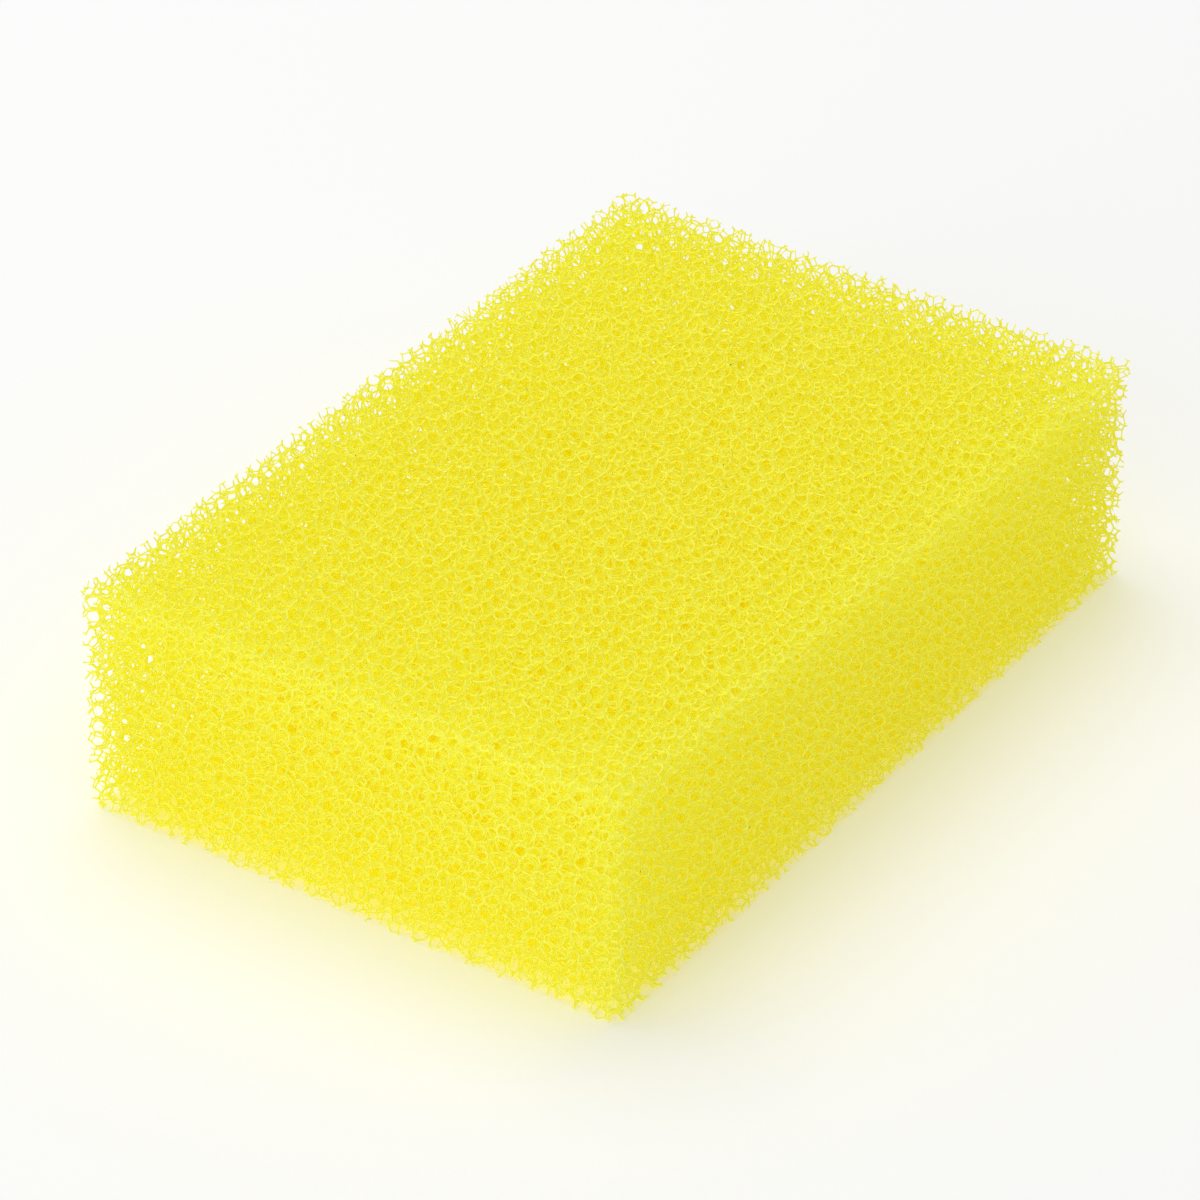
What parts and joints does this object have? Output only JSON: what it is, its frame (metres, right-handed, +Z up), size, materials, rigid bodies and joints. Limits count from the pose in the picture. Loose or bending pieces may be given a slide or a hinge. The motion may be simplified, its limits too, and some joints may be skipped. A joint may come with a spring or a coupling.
{
  "type": "foam sponge block",
  "caption": "Rectangular block of coarse, bright yellow open-cell foam, used by hand as a sponge for washing down, wetting and texturing painted or plastered surfaces.",
  "frame": {"origin": "middle of the base face that the block rests on", "axes": "+X along the length, +Y across the width, +Z up through the thickness to the working face"},
  "size_m": [0.18, 0.12, 0.05],
  "materials": {
    "foam": "lemon yellow open-cell polyurethane foam, matte strands with a faint gloss"
  },
  "bodies": {
    "root": {"foam_block": "foam"}
  },
  "joints": []
}
